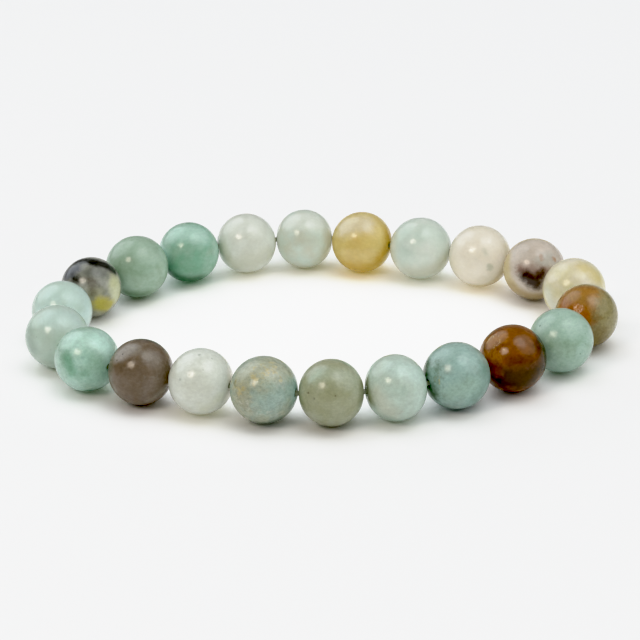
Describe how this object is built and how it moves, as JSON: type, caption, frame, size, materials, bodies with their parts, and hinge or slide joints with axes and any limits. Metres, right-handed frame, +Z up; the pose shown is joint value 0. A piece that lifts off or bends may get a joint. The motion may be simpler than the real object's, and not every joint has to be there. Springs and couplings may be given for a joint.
{
  "type": "beaded bracelet",
  "caption": "Stretch bracelet of round polished mixed-colour stone beads, drilled and strung close together on a closed elastic thread, lying in an easy oval.",
  "frame": {"origin": "centre of the bracelet's bounding box, on the surface that the beads rest on", "axes": "+Z up, square to the loop; +X along the oval's longer side; +Y from the front beads to the far ones"},
  "size_m": [0.0738, 0.0552, 0.0082],
  "materials": {
    "stone_celadon": "polished pale blue-green stone, waxy and faintly translucent",
    "stone_mint": "polished mint green stone, paler at the top, with fine dark specks",
    "stone_taupe": "polished grey-brown stone with amber clouds",
    "stone_ivory": "polished off-white stone, waxy and translucent",
    "stone_mottled": "polished grey-green stone with ochre patches and a blue-green side",
    "stone_olive": "polished grey-green stone with an olive middle",
    "stone_teal": "polished blue-green stone",
    "stone_amber": "polished dark red-brown stone, glassy",
    "stone_russet": "polished orange-brown stone that turns olive on one side, with a small cracked pit",
    "stone_lemon": "polished pale yellow stone, translucent",
    "stone_mauve": "polished cream and mauve stone with a dark purple-brown blotch",
    "stone_honey": "polished golden yellow stone, translucent",
    "stone_sage": "polished sage green stone",
    "stone_smoky": "polished stone, black at the top, with grey, cream and mustard bands",
    "clear_elastic": "clear, slightly milky stretch thread"
  },
  "bodies": {
    "root": {"bead_01": "stone_celadon", "bead_02": "stone_mint", "bead_03": "stone_taupe", "bead_04": "stone_ivory", "bead_05": "stone_mottled", "bead_06": "stone_olive", "bead_07": "stone_celadon", "bead_08": "stone_teal", "bead_09": "stone_amber", "bead_10": "stone_mint", "bead_11": "stone_russet", "bead_12": "stone_lemon", "bead_13": "stone_mauve", "bead_14": "stone_ivory", "bead_15": "stone_celadon", "bead_16": "stone_honey", "bead_17": "stone_celadon", "bead_18": "stone_ivory", "bead_19": "stone_mint", "bead_20": "stone_sage", "bead_21": "stone_smoky", "bead_22": "stone_celadon", "elastic_thread": "clear_elastic"}
  },
  "joints": []
}
